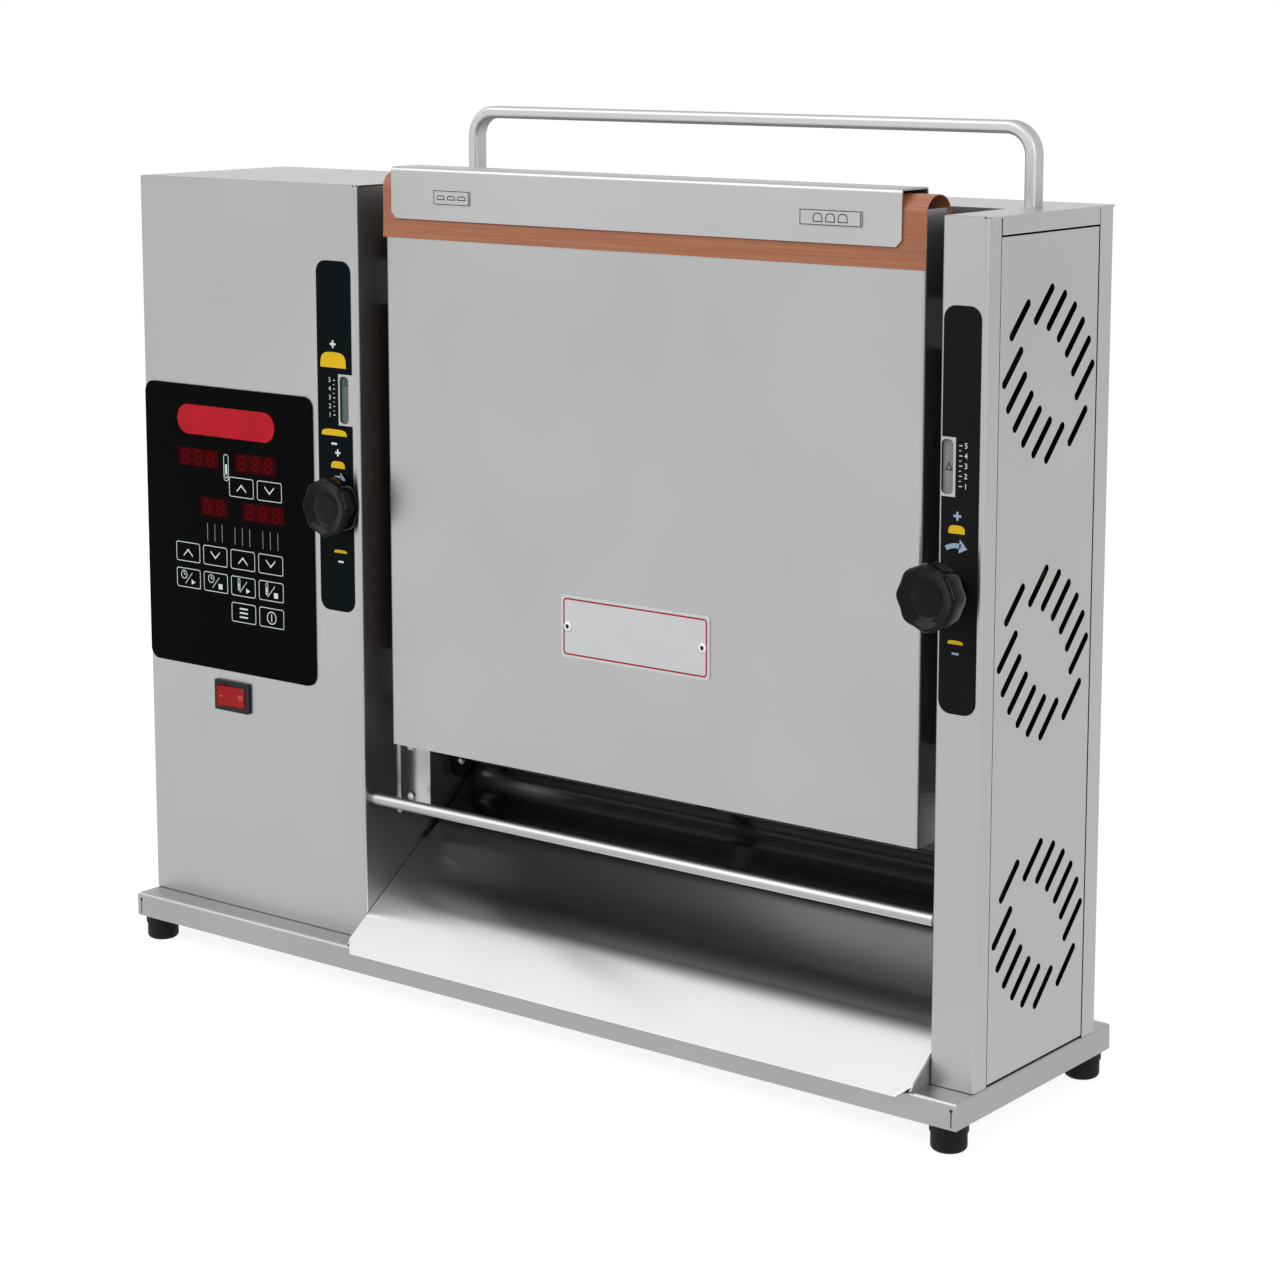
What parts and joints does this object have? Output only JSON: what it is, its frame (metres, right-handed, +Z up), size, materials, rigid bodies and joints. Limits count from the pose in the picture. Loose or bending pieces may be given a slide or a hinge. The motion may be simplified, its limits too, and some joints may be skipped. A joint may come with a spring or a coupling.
{
  "type": "vertical contact toaster",
  "caption": "Countertop vertical contact toaster: buns drop between a heated platen and two adjustable belt conveyors and slide out over a front chute.",
  "frame": {"origin": "on the counter, under the middle of the toaster's bounding box", "axes": "+X to the right seen from the front, +Y towards the rear cover, +Z up"},
  "size_m": [0.7024, 0.198, 0.605],
  "materials": {
    "housing_steel": "brushed stainless sheet, vertical grain",
    "bright_steel": "satin stainless steel",
    "plated_steel": "zinc plated",
    "platen_aluminium": "cast and machined",
    "heater_sheath": "oxidised sheath",
    "insulation": "pressed ceramic fibre board",
    "release_cloth": "coated woven release sheet, satin",
    "black_film": "satin black overlay film",
    "display_red": "dark red display window",
    "circuit_board": "green board",
    "black_plastic": "satin black",
    "red_plastic": "red, glossy",
    "black_rubber": "matt black",
    "gear_brass": "machined",
    "pointer_plastic": "light grey"
  },
  "bodies": {
    "housing": {"left_tower_front": "housing_steel", "left_tower_cover": "housing_steel", "right_tower_front": "housing_steel", "vented_side_panel": "housing_steel", "rear_cover": "housing_steel", "platen_cover": "housing_steel", "sheet_clip": "housing_steel", "base_pan": "bright_steel", "top_cover": "bright_steel", "handle_bar": "bright_steel", "guard_rod": "bright_steel", "chute": "bright_steel", "side_guides": "bright_steel", "screws": "bright_steel", "platen_brackets": "plated_steel", "motor_bracket": "plated_steel", "adjuster_brackets": "plated_steel", "platen": "platen_aluminium", "gear_motor": "platen_aluminium", "heating_elements": "heater_sheath", "insulation_board": "insulation", "release_sheet": "release_cloth", "control_overlay": "black_film", "display_modules": "display_red", "control_board": "circuit_board", "switch_body": "black_plastic", "cable_gland": "black_plastic", "shaft_bearings": "black_plastic", "feet": "black_rubber"},
    "rocker": {"switch_rocker": "red_plastic"},
    "drive": {"drive_shaft": "plated_steel", "drive_gear": "gear_brass", "drive_rollers": "black_rubber"},
    "pinion": {"motor_pinion": "gear_brass"},
    "heel_conveyor": {"heel_frame": "plated_steel", "heel_belt": "black_rubber"},
    "heel_roller": {"heel_idler": "platen_aluminium"},
    "crown_conveyor": {"crown_frame": "plated_steel", "crown_belt": "black_rubber"},
    "crown_roller": {"crown_idler": "platen_aluminium"},
    "left_adjuster": {"left_knob": "black_plastic", "left_screw": "plated_steel"},
    "left_nut": {"left_nut": "gear_brass"},
    "left_pointer": {"left_indicator": "pointer_plastic"},
    "right_adjuster": {"right_knob": "black_plastic", "right_screw": "plated_steel"},
    "right_nut": {"right_nut": "gear_brass"},
    "right_pointer": {"right_indicator": "pointer_plastic"},
    "key_1": {"key_1": "black_film"},
    "key_2": {"key_2": "black_film"},
    "key_3": {"key_3": "black_film"},
    "key_4": {"key_4": "black_film"},
    "key_5": {"key_5": "black_film"},
    "key_6": {"key_6": "black_film"},
    "key_7": {"key_7": "black_film"},
    "key_8": {"key_8": "black_film"},
    "key_9": {"key_9": "black_film"},
    "key_10": {"key_10": "black_film"},
    "key_11": {"key_11": "black_film"},
    "key_12": {"key_12": "black_film"}
  },
  "joints": [
    {"name": "drive_spin", "type": "hinge", "parent": "housing", "child": "drive", "pos_m": [0, 0.029, 0.171], "axis": [1, 0, 0], "continuous": true},
    {"name": "pinion_spin", "type": "hinge", "parent": "housing", "child": "pinion", "pos_m": [0, 0.029, 0.2115], "axis": [1, 0, 0], "continuous": true},
    {"name": "left_knob_turn", "type": "hinge", "parent": "housing", "child": "left_adjuster", "pos_m": [-0.15925, -0.065, 0.337], "axis": [0, 1, 0], "range_deg": [0, 230.5]},
    {"name": "left_nut_slide", "type": "slide", "parent": "housing", "child": "left_nut", "axis": [0, 1, 0], "range_m": [-0.00772, 0]},
    {"name": "left_pointer_slide", "type": "slide", "parent": "housing", "child": "left_pointer", "axis": [0, 0, 1], "range_m": [-0.0242, 0]},
    {"name": "heel_tilt", "type": "hinge", "parent": "housing", "child": "heel_conveyor", "pos_m": [0, 0.029, 0.171], "axis": [1, 0, 0], "range_deg": [0, 2.65]},
    {"name": "heel_roller_spin", "type": "hinge", "parent": "heel_conveyor", "child": "heel_roller", "pos_m": [0, 0.029, 0.514], "axis": [1, 0, 0], "continuous": true},
    {"name": "right_knob_turn", "type": "hinge", "parent": "housing", "child": "right_adjuster", "pos_m": [0.33075, -0.065, 0.337], "axis": [0, 1, 0], "range_deg": [-115.5, 115.5]},
    {"name": "right_nut_slide", "type": "slide", "parent": "housing", "child": "right_nut", "axis": [0, 1, 0], "range_m": [-0.00388, 0.00388]},
    {"name": "right_pointer_slide", "type": "slide", "parent": "housing", "child": "right_pointer", "axis": [0, 0, 1], "range_m": [-0.0121, 0.0121]},
    {"name": "crown_tilt", "type": "hinge", "parent": "housing", "child": "crown_conveyor", "pos_m": [0, 0.029, 0.171], "axis": [1, 0, 0], "range_deg": [-1.32, 1.32]},
    {"name": "crown_roller_spin", "type": "hinge", "parent": "crown_conveyor", "child": "crown_roller", "pos_m": [0, 0.029, 0.514], "axis": [1, 0, 0], "continuous": true},
    {"name": "rocker_tilt", "type": "hinge", "parent": "housing", "child": "rocker", "pos_m": [-0.26725, -0.064, 0.1885], "axis": [0, 0, 1], "range_deg": [-16, 0]},
    {"name": "key_1_press", "type": "slide", "parent": "housing", "child": "key_1", "axis": [0, 1, 0], "range_m": [0, 0.0004], "stiffness_N_per_m": 2000},
    {"name": "key_2_press", "type": "slide", "parent": "housing", "child": "key_2", "axis": [0, 1, 0], "range_m": [0, 0.0004], "stiffness_N_per_m": 2000},
    {"name": "key_3_press", "type": "slide", "parent": "housing", "child": "key_3", "axis": [0, 1, 0], "range_m": [0, 0.0004], "stiffness_N_per_m": 2000},
    {"name": "key_4_press", "type": "slide", "parent": "housing", "child": "key_4", "axis": [0, 1, 0], "range_m": [0, 0.0004], "stiffness_N_per_m": 2000},
    {"name": "key_5_press", "type": "slide", "parent": "housing", "child": "key_5", "axis": [0, 1, 0], "range_m": [0, 0.0004], "stiffness_N_per_m": 2000},
    {"name": "key_6_press", "type": "slide", "parent": "housing", "child": "key_6", "axis": [0, 1, 0], "range_m": [0, 0.0004], "stiffness_N_per_m": 2000},
    {"name": "key_7_press", "type": "slide", "parent": "housing", "child": "key_7", "axis": [0, 1, 0], "range_m": [0, 0.0004], "stiffness_N_per_m": 2000},
    {"name": "key_8_press", "type": "slide", "parent": "housing", "child": "key_8", "axis": [0, 1, 0], "range_m": [0, 0.0004], "stiffness_N_per_m": 2000},
    {"name": "key_9_press", "type": "slide", "parent": "housing", "child": "key_9", "axis": [0, 1, 0], "range_m": [0, 0.0004], "stiffness_N_per_m": 2000},
    {"name": "key_10_press", "type": "slide", "parent": "housing", "child": "key_10", "axis": [0, 1, 0], "range_m": [0, 0.0004], "stiffness_N_per_m": 2000},
    {"name": "key_11_press", "type": "slide", "parent": "housing", "child": "key_11", "axis": [0, 1, 0], "range_m": [0, 0.0004], "stiffness_N_per_m": 2000},
    {"name": "key_12_press", "type": "slide", "parent": "housing", "child": "key_12", "axis": [0, 1, 0], "range_m": [0, 0.0004], "stiffness_N_per_m": 2000}
  ],
  "couplings": [
    {"joint": "pinion_spin", "follows": "drive_spin", "ratio": -2},
    {"joint": "heel_roller_spin", "follows": "drive_spin", "ratio": 1},
    {"joint": "crown_roller_spin", "follows": "drive_spin", "ratio": 1},
    {"joint": "left_knob_turn", "follows": "heel_tilt", "ratio": 86.917},
    {"joint": "left_nut_slide", "follows": "heel_tilt", "m_per_rad": -0.166},
    {"joint": "left_pointer_slide", "follows": "heel_tilt", "m_per_rad": -0.5215},
    {"joint": "right_knob_turn", "follows": "crown_tilt", "ratio": -86.917},
    {"joint": "right_nut_slide", "follows": "crown_tilt", "m_per_rad": -0.166},
    {"joint": "right_pointer_slide", "follows": "crown_tilt", "m_per_rad": -0.5215}
  ]
}
